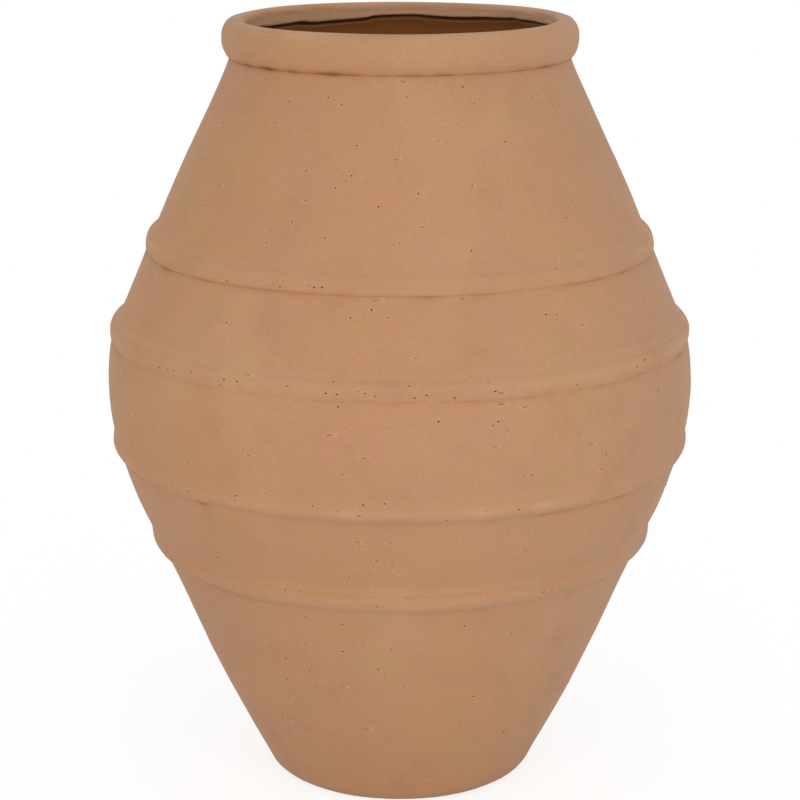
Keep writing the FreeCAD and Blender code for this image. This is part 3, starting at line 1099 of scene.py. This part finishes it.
def makeRim(look):
    section = curveThrough(look["outside"], look["step"])
    out, up = section[:, :1], section[:, 1:]
    radius, height = out + 0 * around, up + 0 * around
    drop = np.interp(aroundDegrees, *np.array(look["lipDrop"]).T) / 1000
    drop = drop + look["lipRagged"] * roundTheJar(look["lipSeed"], 70)
    lip = bell(height, *look["lipEdge"]) * (radius < look["lipRadius"]) * (height < look["lipTop"])
    growing = np.clip((height - look["foot"]) / 0.03, 0, 1)
    wobble = look["wobble"] * roundTheJar(look["wobbleSeed"], 16) * growing
    fieldHeight = (height - look["foot"]) * 8 % clayBody["height"]
    fieldHeight = fieldHeight + 0.01 * (radius > look["outerRadius"])
    lumps = look["lumps"] * clayField(look["lumpSeed"], 60, 50)(around, fieldHeight)
    radius, _ = handMade(radius, height)
    height = height + wobble - drop * lip
    radius = radius + lumps
    # painted shadow under the roll, along the joint
    seam = look["seamLineDark"] * bell(up, *look["seamLine"])
    seam = seam + look["seamShadeDark"] * bell(up, *look["seamShade"])
    seam = seam * (out > look["outerRadius"]) * alongJoint(rimSeam, "gape")
    # painted shade on the inside, under the lip
    under = (out < look["insideShadeRadius"]) * np.clip((look["insideShadeFrom"] - up) / 0.0008, 0, 1)
    # a deeper painted shadow right under the lip
    lipShadow = under * np.clip((up - look["lipShadowFrom"] + drop) / look["lipShadowReach"], 0, 1)
    hollowShade = np.clip(seam + lipShadow, 0, 1)
    # painted highlight with wear along the top, and painted light on the lip's inner face
    topPaleAndLit = look["topPaleAndLit"] + look["topPaleAndLit"] * handDents(around, height)
    wornAndLit = bell(up, *look["topWornAndLit"]) * topPaleAndLit
    wornAndLit = wornAndLit + look["lipLight"] * bell(up, *look["lipLitAt"]) * (out < look["lipFaceRadius"])
    wornAndLit = np.clip(wornAndLit, 0, look["lipLight"])
    piece = ringPiece("rimRoll", radius, height, hollowShade, wornAndLit, under + 0 * around)
    pits = scatteredPits(look["seed"], look["scattered"], *look["pitHeights"], look["widestPit"],
                         look["frontShare"])
    carvePits(piece, pits, look["seed"])
    return piece


finishPiece(makeRim(rimLook), "rim", "terracotta_rim")
print("rim set on")

# A white floor that keeps the jar's shadow and runs out into a white background.
studio = {
    "floorSize": 7.0,
    "floorWhite": 0.30,
    "floorLift": 0.80,
    "floorBounce": 0.84,  # how white the jar, not the camera, sees the floor
    "floorDrop": 0.0002,
    "whiteOver": (0.45, 1.1),  # the floor turns pure white between these distances
    "skyStrength": 0.66,
    "leftPower": 12.95,
    "rightPower": 16.6,
    "lampSize": (1.6, 1.4),
    "lampAside": 1.41,
    "lampForward": 2.65,
    "lampHeight": 1.0,
    "aimHeight": 0.42,
}


def seenDirectly(tree):
    # 1 for what the camera sees, straight or in a gloss, and 0 for the light that falls on the jar
    path = addNode(tree, "ShaderNodeLightPath").outputs
    return combine(tree, path["Is Camera Ray"], path["Is Glossy Ray"], "MAXIMUM")


def makeFloorPlane(look):
    body = bmesh.new()
    bmesh.ops.create_circle(body, cap_ends=True, segments=96, radius=look["floorSize"])
    mesh = bpy.data.meshes.new("studioFloor")
    body.to_mesh(mesh)
    body.free()
    floor = addObject("studioFloor", mesh)
    floor.location.z = -look["floorDrop"]
    material = bpy.data.materials.new("studioWhite")
    tree = emptyTree(material)

    def shader(kind, *inputs, **sockets):
        return addNode(tree, "ShaderNode" + kind, {**dict(enumerate(inputs)), **sockets}).outputs[0]

    paper = shader("BsdfDiffuse", Color=[look["floorWhite"]] * 3)
    lit = shader("AddShader", paper, shader("Emission", Strength=look["floorLift"]))
    place = addNode(tree, "ShaderNodeTexCoord").outputs["Object"]
    away = addNode(tree, "ShaderNodeVectorMath", {0: place}, operation="LENGTH").outputs["Value"]
    white = shader("Emission", Strength=1.0)
    seen = shader("MixShader", spread(tree, away, *look["whiteOver"]), lit, white)
    bounce = shader("BsdfDiffuse", Color=[look["floorBounce"]] * 3)
    final = shader("MixShader", seenDirectly(tree), bounce, seen)
    addNode(tree, "ShaderNodeOutputMaterial", {"Surface": final})
    mesh.materials.append(material)


def addLamp(name, power, side, look):
    lamp = bpy.data.lights.new(name, "AREA")
    lamp.shape = "RECTANGLE"
    lamp.size, lamp.size_y = look["lampSize"]
    lamp.energy = power
    holder = addObject(name, lamp)
    holder.location = side * look["lampAside"], -look["lampForward"], look["lampHeight"]
    aim = Vector((0, 0, look["aimHeight"])) - holder.location
    holder.rotation_euler = aim.to_track_quat("-Z", "Y").to_euler()


def lightStudio(look):
    addLamp("leftSoftbox", look["leftPower"], -1, look)
    addLamp("rightSoftbox", look["rightPower"], 1, look)
    world = bpy.data.worlds.new("studioSky")
    bpy.context.scene.world = world
    tree = emptyTree(world)
    strength = spread(tree, seenDirectly(tree), 0, 1, look["skyStrength"], 1.0)
    sky = addNode(tree, "ShaderNodeBackground", {"Color": (1, 1, 1), "Strength": strength})
    addNode(tree, "ShaderNodeOutputWorld", {"Surface": sky.outputs[0]})


makeFloorPlane(studio)
lightStudio(studio)
print("studio lit")

camera = bpy.data.cameras.new("camera")
camera.lens = cameraLook["lens"]
camera.sensor_width = 36.0
camera.shift_x = cameraLook["shiftX"]
cameraObject = addObject("camera", camera)
cameraObject.location = cameraLook["place"]
cameraObject.rotation_euler = (math.radians(90 - cameraLook["lookDown"]), 0, 0)
bpy.context.scene.camera = cameraObject
bpy.context.scene.view_settings.view_transform = "Standard"
